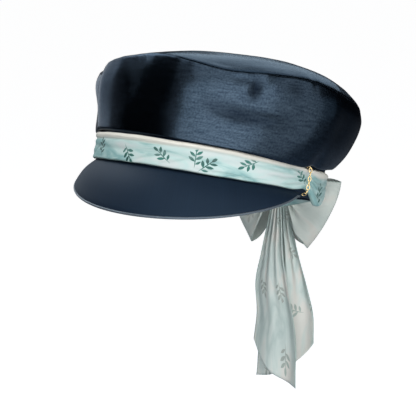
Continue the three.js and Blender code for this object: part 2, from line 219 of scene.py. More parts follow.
# The scarf round the headband: its run, its loose sags, its rolled upper edge and its folds
SCARF_RUN = [Run(3.9, 24), Run(3.9, 24), Run(4.5, 22.5), Run(2, 20.5), Run(-12, 15)]
SCARF_SAGS = [Wave(96, 6, 6), Wave(105, 8, 8), Wave(-103, 11, 6)]
SCARF_DEPTH = 2.5
SCARF_EDGE = 0.06
SCARF_EDGE_ROUND = 0.8
SCARF_LEAST = 0.3
SCARF_CUT = Cut(0.6, 0.026)
ROLL_SHARE = 0.9
ROLL_SWAY = Sway(0.75, 0.25, 2, 1)
ROLL_HALF = 0.075
ROLL_DEPTH = 0.8
ROLL_CREASE_SWAY = Sway(0.785, 0.025, 3, 0.6)
ROLL_CREASE_HALF = 0.045
ROLL_CREASE_DEPTH = 0.6
SCARF_FOLDS = [
    Fold(-75, 0.58, -8, 0.4, 0.1, 0.6),
    Fold(-20, 0.44, 50, 0.58, 0.1, 0.5),
    Fold(24, 0.14, 60, 0.12, 0.035, 0.9),
    Fold(-48, 0.12, -34, 0.55, 0.06, 0.6),
    Fold(-6, 0.1, 12, 0.6, 0.06, 0.6),
    Fold(6, 0.08, 24, 0.5, 0.05, 0.5),
    Fold(44, 0.62, 84, 0.56, 0.05, 0.7),
    Fold(58, 0.34, 84, 0.44, 0.05, 0.8),
    Fold(68, 0.84, 85, 0.66, 0.045, 0.9),
    Fold(66, 0.1, 85, 0.3, 0.045, 0.9),
    Fold(82, 0.6, 120, 0.72, 0.05, 0.9),
    Fold(82, 0.4, 114, 0.2, 0.05, 1),
    Fold(83, 0.5, 150, 0.48, 0.05, 0.9),
    Fold(118, 0.26, 180, 0.4, 0.06, 1),
    Fold(125, 0.74, 179, 0.6, 0.06, 1),
    Fold(-85, 0.66, -40, 0.8, 0.05, 0.7),
    Fold(-85, 0.34, -48, 0.2, 0.05, 0.8),
    Fold(-130, 0.5, -83, 0.5, 0.05, 0.9),
    Fold(-179, 0.6, -112, 0.74, 0.06, 1),
    Fold(-180, 0.4, -116, 0.26, 0.06, 1),
]
FOLD_SWAY = 0.015
FOLD_SWAY_WAVES = 9
FOLD_FADE = 0.6
# How much painted shade darkens the scarf in its folds
SCARF_SHADE = 0.5
SCARF_STEPS = 400
SCARF_ROWS = 44
CINCH = 1.3
CINCH_DEPTH = 0.5
CINCH_HALF_ANGLE = 4.5
EDGE_WOBBLE = 0.5
EDGE_WOBBLE_LENGTH = 18
EDGES_APART = 5

# The chain keepers
LINK_HALF_LENGTH = 1.85
LINK_HALF_WIDTH = 1.15
LINK_WIRE = 0.3
LINK_PITCH = 3.1
LINK_SIDES = 20
LINK_WIRE_SIDES = 8
ROUTE_STEPS = 400
KEEPER_ANGLE = math.radians(83.5)
KEEPER_ROUTE = [
    RoutePoint(1.1, 22.9),
    RoutePoint(3.3, 22.7),
    RoutePoint(5, 20.6),
    RoutePoint(5.3, 13.5),
    RoutePoint(5.1, 5.5),
    RoutePoint(3.4, 2.6),
    RoutePoint(1.1, 2),
]

# The bow: a strip of folded scarf, drawn together at the knot
CUT_WIDTH = 54
CHIFFON_WALL = 0.5
KNOT_MIDDLE = Vector((6, 113, -28))
KNOT_HALF = Vector((9, 11, 10.5))
KNOT_SQUARE = 0.5
KNOT_GRID = (64, 40)
KNOT_PLEATS = 5
KNOT_PLEAT_DEPTH = 1.3
PLEATS = 4
PLEAT_MOST = 3.6
PLEAT_FADE = 1.3
BILLOWS = 1.2
BILLOW_DEPTH = 3.4
BILLOW_TWIST = 2
LOOP_BILLOW = 0.4
STRIP_WOBBLE = 0.7
STRIP_WOBBLE_LENGTH = 17
WOBBLES_APART = 9
PRINTS_APART = 0.37
LOOP_LEFT = [
    Station(15.1, 110, -28, 0, 0, 7, 0, 0),
    Station(26, 110, -36, 6, 1, 22, 1, 0),
    Station(39, 114, -42, 12, 2, 27, 5, 0),
    Station(42, 121.5, -46, 14, 3, 29.5, 6, 0),
    Station(33, 129, -46, 10, 2, 30, 4, 0),
    Station(20, 128, -43, 9, 1, 24, 1, 0),
    Station(15.6, 120.5, -28, 0, 0, 7, 0, 0),
]
LOOP_RIGHT = [
    Station(-3.6, 120.5, -28, 0, 0, 7, 0, 0),
    Station(-17, 128, -37, -5, 1, 22, -1, 0),
    Station(-29, 130, -44, -9, 2, 28, -4, 0),
    Station(-34, 122, -46, -10, 3, 30, -5, 0),
    Station(-30, 115, -43, -9, 2, 28, -4, 0),
    Station(-17, 110, -35, -4, 1, 21, -1, 0),
    Station(-3.1, 110, -28, 0, 0, 7, 0, 0),
]
TAIL_LEFT = [
    Station(8, 117.5, -38.9, 4.5, 0, 0, 0, 0),
    Station(8.5, 117, -58, 7, 0.5, 0, 0, 0),
    Station(11.5, 115.5, -82, 10.5, 1, 0, 0, 0),
    Station(13, 114, -111, 17, 2, 1, 0, 2),
    Station(13, 112, -146, 24, 3, 3, 0, 10),
    Station(12, 111, -188, 26.5, 3, 5, 0, 26),
]
TAIL_RIGHT = [
    Station(4, 112, -38.9, 4.5, 0, 0, 0, 0),
    Station(3, 109.5, -58, 7.5, -0.5, 0, 0, 0),
    Station(1.5, 107.5, -82, 11, -1, 0, 0, 0),
    Station(2, 105.5, -111, 17, -2, -1, 0, -2),
    Station(7, 103.5, -146, 20, -2, -3, 0, -10),
    Station(6.5, 102.5, -190, 22, -2, -5, 0, -26),
]
HEM_ROUND = 2.5
LOOP_GRID = (96, 40)
TAIL_GRID = (90, 36)

# The weaves: threads, grain and slubs to a metre, and how far the threads stand out
SATIN_THREADS = 4200
SATIN_FLOAT = 6
CHIFFON_THREADS = 2600
CHIFFON_FLOAT = 1
STAGGER = 0.4
THREAD_GAP = 0.08
GRAIN = 750
GRAIN_DETAIL = 1
SLUBS = (90, 900, 1)
SLUB_DETAIL = 3
SATIN_RELIEF = Relief(0.3, 0.00004)
CHIFFON_RELIEF = Relief(0.15, 0.0001)

# The satins: the colours of their threads, the piping's lightened as a painted highlight, and a metallic
# share for the one that is all shine
TONE_FROM = 0.36
TONE_TO = 0.64
SLATE = (0.74, 0.76, 0.79, 1)
STEEL_BLUE = (0.5, 0.74, 1, 1)
CROWN_SATIN = Satin("Navy satin", (0.014, 0.023, 0.036), (0.036, 0.054, 0.075), 0.185, 0.9, SLATE, 1)
PEAK_SATIN = Satin(
    "Firm navy satin", (0.0022, 0.0062, 0.0145), (0.0034, 0.0088, 0.0195), 0.62, 0.28, STEEL_BLUE, 0
)
# The piping's lighter base colour is a painted highlight along the peak's rim
PIPING_LOOK_WITH_PAINTED_HIGHLIGHT = Satin("Satin of the piping, with painted highlight", (0.06, 0.07, 0.08), (0.08, 0.092, 0.104), 0.4, 0.8, STEEL_BLUE, 0)
ROUGHNESS_SPREAD = 0.05
# Painted shade in tight folds: the attribute that carries it, and the dark colours that satin and chiffon
# are mixed towards there
FOLD_SHADE = "Fold shade"
PAINTED_SATIN_CREASE_SHADE = (0.001, 0.002, 0.005)
PAINTED_CHIFFON_CREASE_SHADE = (0.19, 0.28, 0.27)

# The print on the chiffon: sprigs to a metre, the leaves of one in shares of its cell, and the paints
SPRIGS = 42
SPRIG_SCATTER = 0.7
STEM = Leaf(0, 0, 0, 0.018, 0.42)
LEAVES = [
    Leaf(0, 0.34, 0, 0.055, 0.13),
    Leaf(0.11, 0.2, -48, 0.05, 0.13),
    Leaf(-0.11, 0.13, 48, 0.05, 0.13),
    Leaf(0.12, 0.02, -52, 0.055, 0.14),
    Leaf(-0.12, -0.06, 52, 0.055, 0.14),
    Leaf(0.11, -0.18, -56, 0.045, 0.12),
]
CREAM = (0.56, 0.55, 0.495)
BORDER_BLUR = 0.003
# Painted shade along the strips' long edges, where the rolled hem shades the cloth: its width, strength and
# colour
HEM = 0.0007
HEM_STRENGTH = 0.6
HEM_SHADE = (0.2, 0.28, 0.25)
STROKES = (22, 60, 1)
STROKE_DETAIL = 4
STROKE_SWIRL = 0.7
WASH_STOPS = (0.38, 0.49, 0.61, 0.7)
BRUSH_STOPS = (0.35, 0.6)
CHIFFON_ROUGHNESS = 0.6
CHIFFON_SPECULAR = 0.3
CREAM_FROM = 0.019
NO_CREAM = 1
SCARF_LOOK = Chiffon("Printed chiffon", (0.44, 0.495, 0.49), 1, 0.35, CREAM_FROM)
TAIL_LOOK = Chiffon("Printed chiffon of the tails", (0.54, 0.54, 0.505), 0.5, 0.7, NO_CREAM)
# The loops' ground is darker and greyer than the tails' as painted shade; they also carry a fainter wash
# and fewer sprigs
LOOPS_LOOK_IN_PAINTED_SHADE = Chiffon("Loops' printed chiffon in painted shade", (0.45, 0.445, 0.405), 0.3, 0.8, NO_CREAM)
MINT = (0.365, 0.495, 0.48)
TEAL = (0.17, 0.32, 0.32)
GREEN = (0.03, 0.15, 0.125)
DEEP_GREEN = (0.008, 0.04, 0.035)

# The gold of the chains
SCUFFS = 900
SCUFF_STOPS = (0.3, 0.7)
GOLD_TONES = ((0.72, 0.5, 0.2), (0.95, 0.76, 0.42))
GOLD_GLOSSIEST = 0.14
GOLD_DULLEST = 0.34

# The view and the light, in metres and degrees
CAMERA_AZIMUTH = math.radians(29)
CAMERA_ELEVATION = math.radians(12)
CAMERA_DISTANCE = 1.2
CAMERA_LENS = 133.4
AIM_ACROSS = -0.0009
AIM_UP = -0.0194
FLOOR_LEVEL = -0.75
FLOOR_SIZE = 60
FLOOR_COLOUR = (0.38, 0.43, 0.5)
FLOOR_GLOW = 0.98
FLOOR_ROUGHNESS = 0.9
PLAIN = (1, 1, 1)
PALE = (0.84, 0.92, 1)
COOL = (0.66, 0.85, 1)
LIGHTS = [
    Light("Right softbox", 34, 9, 1.35, 2.1, 1.6, 23, 150, PLAIN),
    Light("Far right softbox", 92, 8, 1.35, 1.1, 1.75, 8, 180, PLAIN),
    Light("High softbox", 34, 56, 1.35, 1.2, 0.8, 6, 180, PLAIN),
    Light("Right fill", 126, -4, 1.5, 0.7, 0.7, 0.45, 180, COOL),
    Light("Back softbox", 191, 22, 1.6, 1.1, 0.7, 2.6, 180, COOL),
    Light("Edge softbox", -165, 54, 1.5, 0.75, 0.9, 2, 180, COOL),
    Light("Left softbox", -110, 14, 1.6, 1.2, 1.3, 5.4, 180, PALE),
    Light("Top softbox", -88, 52, 1.3, 1.2, 0.8, 13, 180, PLAIN),
]
SKY = (0.012, 0.013, 0.016)
BACKDROP = (0.95, 0.95, 0.95)


def smooth_step(x):
    x = min(max(x, 0), 1)
    return x * x * (3 - 2 * x)


def lerp(a, b, share):
    return a + (b - a) * share


def smooth_table(rows):
    """A smooth reading of a table, whose first row is at 0 and last at 1."""
    kind = type(rows[0])
    before = kind(*(2 * a - b for a, b in zip(rows[0], rows[1])))
    after = kind(*(2 * a - b for a, b in zip(rows[-1], rows[-2])))
    knots = [before, *rows, after]

    def read(share):
        place = min(max(share, 0), 1) * (len(rows) - 1)
        i = min(int(place), len(rows) - 2)
        return kind(*(between(place - i, *four) for four in zip(*knots[i : i + 4])))

    return read


def between(p, a, b, c, d):
    """A smooth curve from b to c, with a before and d after them."""
    slope = c - a
    bend = 2 * a - 5 * b + 4 * c - d
    twist = 3 * (b - c) + d - a
    return b + (slope + (bend + twist * p) * p) * p / 2


def oval_point(oval, angle, z):
    """A point on an oval: angle 0 is the front, a quarter turn is the wearer's left."""
    reach = oval.front if math.cos(angle) > 0 else oval.back
    return Vector((oval.side * math.sin(angle), -reach * math.cos(angle), z))


def oval_out(oval, angle):
    reach = oval.front if math.cos(angle) > 0 else oval.back
    return Vector((math.sin(angle) / oval.side, -math.cos(angle) / reach, 0)).normalized()


def bell(apart, half):
    """The share of a bell-shaped bump that is left some way from its middle."""
    return math.exp(-((apart / half) ** 2))


def bump(angle, middle, half_angle):
    """The share of a bump that is left at some angle from its middle, the short way round."""
    apart = (math.degrees(angle) - middle + 180) % 360 - 180
    return bell(apart, half_angle)


def bumps(angle, rows):
    return sum(row.lift * bump(angle, row.angle, row.half_angle) for row in rows)


def wobble(place, seed):
    """How far slack cloth stands out of its smooth form here."""
    shift = WOBBLE_SHIFT * seed
    return sum(depth * noise.noise(place / length + shift) for length, depth in WOBBLES)


# Making meshes
def spun(section, steps, closed=False, start=math.pi, turn=TURN):
    """A section of (out, up) points spun on a plain circle, ready to be laid where it belongs."""
    bm = bmesh.new()
    radii = [SPIN_RADIUS + out for out, up in section]
    verts = [
        bm.verts.new((radius * math.sin(start), -radius * math.cos(start), up))
        for radius, (out, up) in zip(radii, section)
    ]
    edges = [bm.edges.new(pair) for pair in zip(verts, verts[1:])]
    if closed:
        edges.append(bm.edges.new((verts[-1], verts[0])))
    whole = turn >= TURN
    bmesh.ops.spin(
        bm, geom=verts + edges, cent=(0, 0, 0), axis=UP, angle=turn, steps=steps, use_merge=whole
    )
    return bm


def where_spun(place):
    """The angle, out and up of a point of a spun mesh."""
    return math.atan2(place.x, -place.y), math.hypot(place.x, place.y) - SPIN_RADIUS, place.z


def lay(bm, place, cut):
    """Moves each point of a spun mesh to place(angle, out, up), with angle and up as its UV, in metres."""
    uv = bm.loops.layers.uv.new("UVMap")
    for face in bm.faces:
        middle = where_spun(face.calc_center_median())[0]
        for loop in face.loops:
            angle, out, up = where_spun(loop.vert.co)
            turns = round((middle - angle) / TURN)
            loop[uv].uv = ((angle + turns * TURN) / TURN * cut.length, up * cut.width)
    for vert in bm.verts:
        vert.co = place(*where_spun(vert.co))
    bmesh.ops.remove_doubles(bm, verts=bm.verts, dist=MERGE_WITHIN)
    bmesh.ops.recalc_face_normals(bm, faces=bm.faces)


def make_piece(name, bm, finish, nodes, worn=True):
    """A finished piece in metres, riding on the cap's body in the place of its solids."""
    if worn:
        bm.transform(WORN)
    bm.transform(Matrix.Scale(MM, 4))
    mesh = bpy.data.meshes.new(name)
    bm.to_mesh(mesh)
    bm.free()
    mesh.shade_smooth()
    mesh.materials.append(finish)
    piece = bpy.data.objects.new(name, mesh)
    bpy.context.scene.collection.objects.link(piece)
    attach(piece, "root")
    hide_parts(*nodes)
    return piece


def thicken(piece, wall, offset):
    cloth = piece.modifiers.new("Cloth wall", "SOLIDIFY")
    cloth.thickness = wall * MM
    cloth.offset = offset


# Node trees
def add(tree, kind, **settings):
    node = tree.nodes.new("ShaderNode" + kind)
    for name, value in settings.items():
        setattr(node, name, value)
    return node


def join(tree, *links):
    for start, end in links:
        tree.links.new(start, end)


def math_node(tree, operation, first, second):
    """A Math node of two values, each a number or a socket."""
    node = add(tree, "Math", operation=operation)
    for socket, value in zip(node.inputs, (first, second)):
        if isinstance(value, (int, float)):
            socket.default_value = value
        else:
            tree.links.new(value, socket)
    return node.outputs[0]


def ramp(tree, value, stops):
    node = add(tree, "ValToRGB")
    table = node.color_ramp.elements
    while len(table) < len(stops):
        table.new(0.5)
    for stop, (position, colour) in zip(table, stops):
        stop.position = position
        stop.color = (*colour, 1)
    tree.links.new(value, node.inputs["Fac"])
    return node.outputs["Color"]


def mix_colours(tree, share, first, second):
    node = add(tree, "Mix", data_type="RGBA")
    sockets = [socket for socket in node.inputs if socket.type == "RGBA"]
    for socket, value in zip([node.inputs[0], *sockets], (share, first, second)):
        if isinstance(value, (int, float)):
            socket.default_value = value
        elif isinstance(value, tuple):
            socket.default_value = (*value, 1)
        else:
            tree.links.new(value, socket)
    return next(socket for socket in node.outputs if socket.type == "RGBA")


def new_group(name, inputs, outputs):
    group = bpy.data.node_groups.new(name, "ShaderNodeTree")
    for label, value in inputs.items():
        socket = group.interface.new_socket(label, in_out="INPUT", socket_type="NodeSocketFloat")
        socket.default_value = value
    for label, kind in outputs.items():
        group.interface.new_socket(label, in_out="OUTPUT", socket_type="NodeSocket" + kind)
    return group, group.nodes.new("NodeGroupInput"), group.nodes.new("NodeGroupOutput")


def satin_weave_group():
    """Long floats of thread in staggered rows, and the slow change of tone along them."""
    inputs = {"Threads": SATIN_THREADS, "Float length": SATIN_FLOAT, "Grain": GRAIN}
    group, start, end = new_group("Satin weave", inputs, {"Height": "Float", "Tone": "Float"})
    uv = add(group, "TexCoord").outputs["UV"]
    threads = add(group, "TexBrick", offset=STAGGER, offset_frequency=2)
    threads.inputs["Mortar Size"].default_value = THREAD_GAP
    threads.inputs["Mortar Smooth"].default_value = 1
    threads.inputs["Row Height"].default_value = 1
    slubs = add(group, "TexNoise")
    slubs.inputs["Scale"].default_value = 1
    slubs.inputs["Detail"].default_value = SLUB_DETAIL
    grain = add(group, "TexNoise")
    grain.inputs["Detail"].default_value = GRAIN_DETAIL
    along = add(group, "VectorMath", operation="MULTIPLY")
    along.inputs[1].default_value = SLUBS
    both = math_node(group, "ADD", slubs.outputs["Fac"], grain.outputs["Fac"])
    join(
        group,
        (uv, threads.inputs["Vector"]),
        (start.outputs["Threads"], threads.inputs["Scale"]),
        (start.outputs["Float length"], threads.inputs["Brick Width"]),
        (uv, along.inputs[0]),
        (along.outputs[0], slubs.inputs["Vector"]),
        (uv, grain.inputs["Vector"]),
        (start.outputs["Grain"], grain.inputs["Scale"]),
        (math_node(group, "SUBTRACT", grain.outputs["Fac"], threads.outputs["Fac"]), end.inputs["Height"]),
        (math_node(group, "MULTIPLY", both, 0.5), end.inputs["Tone"]),
    )
    return group


def place_group(tree, group, **values):
    node = add(tree, "Group", node_tree=group)
    for name, value in values.items():
        node.inputs[name.replace("_", " ")].default_value = value
    return node


def new_finish(name):
    finish = bpy.data.materials.new(name)
    finish.use_nodes = True
    return finish, finish.node_tree, finish.node_tree.nodes["Principled BSDF"]


def raise_threads(tree, threads, surface, relief):
    """Lets the height of the threads catch the light."""
    node = add(tree, "Bump")
    node.inputs["Strength"].default_value = relief.strength
    node.inputs["Distance"].default_value = relief.distance
    join(
        tree,
        (threads.outputs["Height"], node.inputs["Height"]),
        (node.outputs["Normal"], surface.inputs["Normal"]),
    )


def satin_finish(look, weave):
    """Woven satin whose tone and gloss change along its threads, with painted shade inside its tight folds.
    """
    finish, tree, surface = new_finish(look.name)
    threads = place_group(tree, weave)
    tone = ramp(tree, threads.outputs["Tone"], [(TONE_FROM, look.dark), (TONE_TO, look.light)])
    # Painted shade: the colour goes to near black inside tight folds
    fold = add(tree, "Attribute", attribute_name=FOLD_SHADE)
    tone = mix_colours(tree, fold.outputs["Fac"], tone, PAINTED_SATIN_CREASE_SHADE)
    rough = add(tree, "MapRange")
    rough.inputs["To Min"].default_value = look.roughness - ROUGHNESS_SPREAD
    rough.inputs["To Max"].default_value = look.roughness + ROUGHNESS_SPREAD
    raise_threads(tree, threads, surface, SATIN_RELIEF)
    surface.inputs["Metallic"].default_value = look.metallic
    surface.inputs["Specular IOR Level"].default_value = look.specular
    surface.inputs["Specular Tint"].default_value = look.tint
    join(
        tree,
        (tone, surface.inputs["Base Color"]),
        (threads.outputs["Tone"], rough.inputs["Value"]),
        (rough.outputs["Result"], surface.inputs["Roughness"]),
    )
    return finish


def leaf_mask(tree, place, leaf):
    """A mask of one pointed leaf of a sprig."""
    within = add(tree, "Mapping", vector_type="TEXTURE")
    within.inputs["Location"].default_value = (leaf.x, leaf.y, 0)
    within.inputs["Rotation"].default_value = (0, 0, math.radians(leaf.turn))
    within.inputs["Scale"].default_value = (leaf.half_width, leaf.half_length, 1)
    at = add(tree, "SeparateXYZ")
    join(tree, (place, within.inputs["Vector"]), (within.outputs["Vector"], at.inputs[0]))
    aside = math_node(tree, "ABSOLUTE", at.outputs["X"], 0)
    taper = math_node(tree, "SUBTRACT", 1, math_node(tree, "MULTIPLY", at.outputs["Y"], at.outputs["Y"]))
    return math_node(tree, "LESS_THAN", aside, taper)


def sprig_print(tree, uv, left_out):
    """A mask of scattered sprigs, each turned its own way in a cell of its own."""
    cells = add(tree, "TexVoronoi", voronoi_dimensions="2D")
    cells.inputs["Scale"].default_value = SPRIGS
    cells.inputs["Randomness"].default_value = SPRIG_SCATTER
    from_middle = add(tree, "VectorMath", operation="SUBTRACT")
    scaled = add(tree, "VectorMath", operation="SCALE")
    scaled.inputs["Scale"].default_value = SPRIGS
    turned = add(tree, "VectorRotate", rotation_type="Z_AXIS")
    chance = add(tree, "SeparateColor")
    join(
        tree,
        (uv, cells.inputs["Vector"]),
        (uv, from_middle.inputs[0]),
        (cells.outputs["Position"], from_middle.inputs[1]),
        (from_middle.outputs[0], scaled.inputs[0]),
        (scaled.outputs[0], turned.inputs["Vector"]),
        (cells.outputs["Color"], chance.inputs[0]),
        (math_node(tree, "MULTIPLY", chance.outputs[0], TURN), turned.inputs["Angle"]),
    )
    sprig = leaf_mask(tree, turned.outputs[0], STEM)
    for leaf in LEAVES:
        sprig = math_node(tree, "MAXIMUM", sprig, leaf_mask(tree, turned.outputs[0], leaf))
    return math_node(tree, "MULTIPLY", sprig, math_node(tree, "GREATER_THAN", chance.outputs[1], left_out))


def washed(look, paint):
    return tuple(lerp(a, b, look.wash) for a, b in zip(look.ground, paint))


def chiffon_finish(look, weave):
    """Thin cloth with a watercolour wash and scattered sprigs, a cream border across it, painted shade in
    its folds and painted shade along its hem.
    """
    finish, tree, surface = new_finish(look.name)
    uv = add(tree, "TexCoord").outputs["UV"]
    strokes = add(tree, "VectorMath", operation="MULTIPLY")
    strokes.inputs[1].default_value = STROKES
    paint = add(tree, "TexNoise")
    paint.inputs["Scale"].default_value = 1
    paint.inputs["Detail"].default_value = STROKE_DETAIL
    paint.inputs["Distortion"].default_value = STROKE_SWIRL
    join(tree, (uv, strokes.inputs[0]), (strokes.outputs[0], paint.inputs["Vector"]))
    mint = washed(look, MINT)
    washes = (look.ground, mint, washed(look, TEAL), mint)
    greens = (washed(look, GREEN), washed(look, DEEP_GREEN))
    colour = ramp(tree, paint.outputs["Fac"], list(zip(WASH_STOPS, washes)))
    brush = ramp(tree, paint.outputs["Fac"], list(zip(BRUSH_STOPS, greens)))
    colour = mix_colours(tree, sprig_print(tree, uv, look.left_out), colour, brush)
    across = add(tree, "SeparateXYZ")
    edge = add(tree, "MapRange", interpolation_type="SMOOTHSTEP")
    edge.inputs["From Min"].default_value = look.border
    edge.inputs["From Max"].default_value = look.border + BORDER_BLUR
    off_middle = math_node(tree, "SUBTRACT", paint.outputs["Fac"], 0.5)
    uneven = math_node(tree, "MULTIPLY", off_middle, 2 * BORDER_BLUR)
    join(
        tree,
        (uv, across.inputs[0]),
        (math_node(tree, "ADD", across.outputs["Y"], uneven), edge.inputs["Value"]),
    )
    colour = mix_colours(tree, edge.outputs["Result"], colour, CREAM)
    # Painted shade: the colour goes towards a dark teal-grey in the folds
    fold = add(tree, "Attribute", attribute_name=FOLD_SHADE)
    colour = mix_colours(tree, fold.outputs["Fac"], colour, PAINTED_CHIFFON_CREASE_SHADE)
    # Painted shade along the hem: a narrow band at each long edge is darkened
    from_edge = math_node(tree, "SUBTRACT", CUT_WIDTH * MM, across.outputs["Y"])
    hem = math_node(tree, "LESS_THAN", math_node(tree, "MINIMUM", across.outputs["Y"], from_edge), HEM)
    colour = mix_colours(tree, math_node(tree, "MULTIPLY", hem, HEM_STRENGTH), colour, HEM_SHADE)
    threads = place_group(tree, weave, Threads=CHIFFON_THREADS, Float_length=CHIFFON_FLOAT)
    raise_threads(tree, threads, surface, CHIFFON_RELIEF)
    surface.inputs["Roughness"].default_value = CHIFFON_ROUGHNESS
    surface.inputs["Specular IOR Level"].default_value = CHIFFON_SPECULAR
    join(tree, (colour, surface.inputs["Base Color"]))
    return finish


def gold_finish():
    finish, tree, surface = new_finish("Gold chain")
    scuffs = add(tree, "TexNoise")
    scuffs.inputs["Scale"].default_value = SCUFFS
    rough = add(tree, "MapRange")
    rough.inputs["To Min"].default_value = GOLD_GLOSSIEST
    rough.inputs["To Max"].default_value = GOLD_DULLEST
    surface.inputs["Metallic"].default_value = 1
    tone = ramp(tree, scuffs.outputs["Fac"], list(zip(SCUFF_STOPS, GOLD_TONES)))
    join(
        tree,
        (add(tree, "TexCoord").outputs["Object"], scuffs.inputs["Vector"]),
        (scuffs.outputs["Fac"], rough.inputs["Value"]),
        (rough.outputs["Result"], surface.inputs["Roughness"]),
        (tone, surface.inputs["Base Color"]),
    )
    return finish


weave = satin_weave_group()
SATIN = satin_finish(CROWN_SATIN, weave)
FIRM_SATIN = satin_finish(PEAK_SATIN, weave)
EDGE_FINISH_WITH_PAINTED_HIGHLIGHT = satin_finish(PIPING_LOOK_WITH_PAINTED_HIGHLIGHT, weave)
SCARF_CHIFFON = chiffon_finish(SCARF_LOOK, weave)
TAIL_CHIFFON = chiffon_finish(TAIL_LOOK, weave)
LOOPS_CHIFFON_IN_PAINTED_SHADE = chiffon_finish(LOOPS_LOOK_IN_PAINTED_SHADE, weave)
GOLD = gold_finish()


# The crown
crown_section = smooth_table(CROWN_SECTIONS)
dome_section = smooth_table(DOME)
crease_tables = [(crease, smooth_table(crease)) for crease in CREASES]


def crease_depth(angle, z):
    """How deep the curved creases are here, fading out to their ends."""
    depth = 0
    for crease, table in crease_tables:
        degrees = math.degrees(angle) % 360
        share = (degrees - crease[0].angle) / (crease[-1].angle - crease[0].angle)
        if 0 < share < 1:
            here = table(share)
            depth += here.depth * bell(z - here.z, CREASE_HALF_WIDTH)
    return depth


def dent_depth(angle, z, dents):
    return sum(
        dent.depth * bell(z - dent.z, dent.half_height) * bump(angle, dent.angle, dent.half_angle)
        for dent in dents
    )


def fold_depth(angle, z):
    """How deep the tight folds are here, which get painted shade inside."""
    return crease_depth(angle, z) + dent_depth(angle, z, PINCHES)


def overhang(angle, above):
    """How far the cloth puffs out over the scarf's upper edge, and how far it hangs down there."""
    puff = smooth_step(above / PUFF_RISE) * math.exp(-above / PUFF_FADE) * (1 - KEEPER_HOLD * cinch(angle))
    return puff * bumps(angle, PUFFS_OUT), puff * bumps(angle, PUFFS_DOWN)


def crown_point(angle, share):
    """The side wall's outer face, share 0 at the headband and 1 at the seam, and the way out of it."""
    section = crown_section(share)
    place = oval_point(section, angle, section.z)
    place.x += section.shift
    out = oval_out(section, angle)
    depth = fold_depth(angle, section.z) + dent_depth(angle, section.z, DENTS)
    place -= out * smooth_step(share / HELD_FLAT) * depth
    puff_out, puff_down = overhang(angle, section.z - CROWN_SECTIONS[0].z)
    place += out * puff_out - UP * puff_down
    lift = bumps(angle, [SLUMP, *SEAM_WAVES])
    place.z += share**2 * (lift - SEAM_SLOPE * place.y + SEAM_LEAN * place.x)
    return place, out


def seam_relief(angle, apart):
    """How far the cloth stands out at a distance from the seam: drawn in at it, and puckered beside it."""
    along = Vector((math.sin(angle), math.cos(angle), 0)) * SPIN_RADIUS / PUCKER_LENGTH
    pucker = PUCKER * noise.noise(along) * math.exp(-apart / PUCKER_REACH)
    return pucker - SEAM_DIP * math.exp(-apart / SEAM_DIP_REACH)


def crown_side():
    shares = [1 - (1 - i / CROWN_ROWS) ** ROW_CROWDING for i in range(CROWN_ROWS + 1)]
    turned_in = 1 + SEAM_ALLOWANCE / CROWN_HEIGHT

    def place(angle, out, share):
        point, way = crown_point(angle, min(share, 1))
        free = smooth_step(share / HELD_FLAT)
        point += way * (free * wobble(point, 1) + seam_relief(angle, max(1 - share, 0) * CROWN_HEIGHT))
        if share > 1:
            point -= way * SEAM_ALLOWANCE
        return point

    bm = spun([(0, share) for share in [*shares, turned_in]], CROWN_STEPS)
    # Painted shade, set by how deep the tight folds are
    shade = bm.verts.layers.float.new(FOLD_SHADE)
    for vert in bm.verts:
        angle, out, share = where_spun(vert.co)
        depth = fold_depth(angle, crown_section(min(share, 1)).z)
        vert[shade] = SHADE_MOST * min(depth / SHADE_FULL, 1)
    lay(bm, place, CROWN_CUT)
    piece = make_piece("crown_side_satin", bm, SATIN, ["crown_side"])
    thicken(piece, CROWN_CLOTH, -1)


def tip_point(angle, share):
    """The tip's outer face, share 0 at the seam and 1 at its middle."""
    section = dome_section(share)
    edge, way = crown_point(angle, 1)
    place = TIP_MIDDLE + (edge - TIP_MIDDLE) * section.share
    place.z -= bumps(angle, SEAM_WAVES) * (section.share - section.share**WAVE_FADE)
    place.z -= bumps(angle, [SLUMP]) * (section.share - section.share**SLUMP_FADE)
    place.z += bumps(angle, [SHOULDER]) * (section.share**SHOULDER_FROM - section.share**SHOULDER_TO)
    place.z += section.rise * (1 + PUFF_SHARE * section.share * math.cos(angle - PUFF_ANGLE)) + GAP
    return place, way, (1 - section.share) * SPIN_RADIUS


def crown_tip():
    shares = [(i / TIP_ROWS) ** ROW_CROWDING for i in range(TIP_ROWS + 1)]
    turned_in = -SEAM_ALLOWANCE / SPIN_RADIUS

    def place(angle, out, share):
        point, way, apart = tip_point(angle, max(share, 0))
        facing = (way * (1 - share) + UP).normalized()
        point += facing * (smooth_step(apart / TIP_HELD) * wobble(point, 2) + seam_relief(angle, apart))
        if share < 0:
            point -= way * SEAM_ALLOWANCE
        return point

    bm = spun([(0, share) for share in [turned_in, *shares]], CROWN_STEPS)
    lay(bm, place, TIP_CUT)
    middle = [v for v in bm.verts if (v.co - TIP_MIDDLE).xy.length < TIP_EVEN]
    for _ in range(TIP_EVEN_ROUNDS):
        bmesh.ops.smooth_vert(bm, verts=middle, factor=0.5, use_axis_z=True)
    piece = make_piece("crown_tip_satin", bm, SATIN, ["crown_tip"])
    thicken(piece, CROWN_CLOTH, -1)


# The headband and the peak
def on_band(angle, out, z):
    return oval_point(BAND_OUTER, angle, z) + oval_out(BAND_OUTER, angle) * out


def headband():
    bm = spun([(0, 0), (0, BAND_TOP), (-BAND_WALL, BAND_TOP), (-BAND_WALL, 0)], BAND_STEPS, closed=True)
    rims = [e for e in bm.edges if e.calc_face_angle(0) > SHARP_ANGLE]
    bmesh.ops.bevel(
        bm,
        geom=rims,
        offset=BAND_EDGE,
        offset_type="OFFSET",
        segments=BAND_EDGE_STEPS,
        profile=0.5,
        affect="EDGES",
        material=-1,
    )
    lay(bm, on_band, BAND_CUT)
    make_piece("headband_satin", bm, FIRM_SATIN, ["headband"])


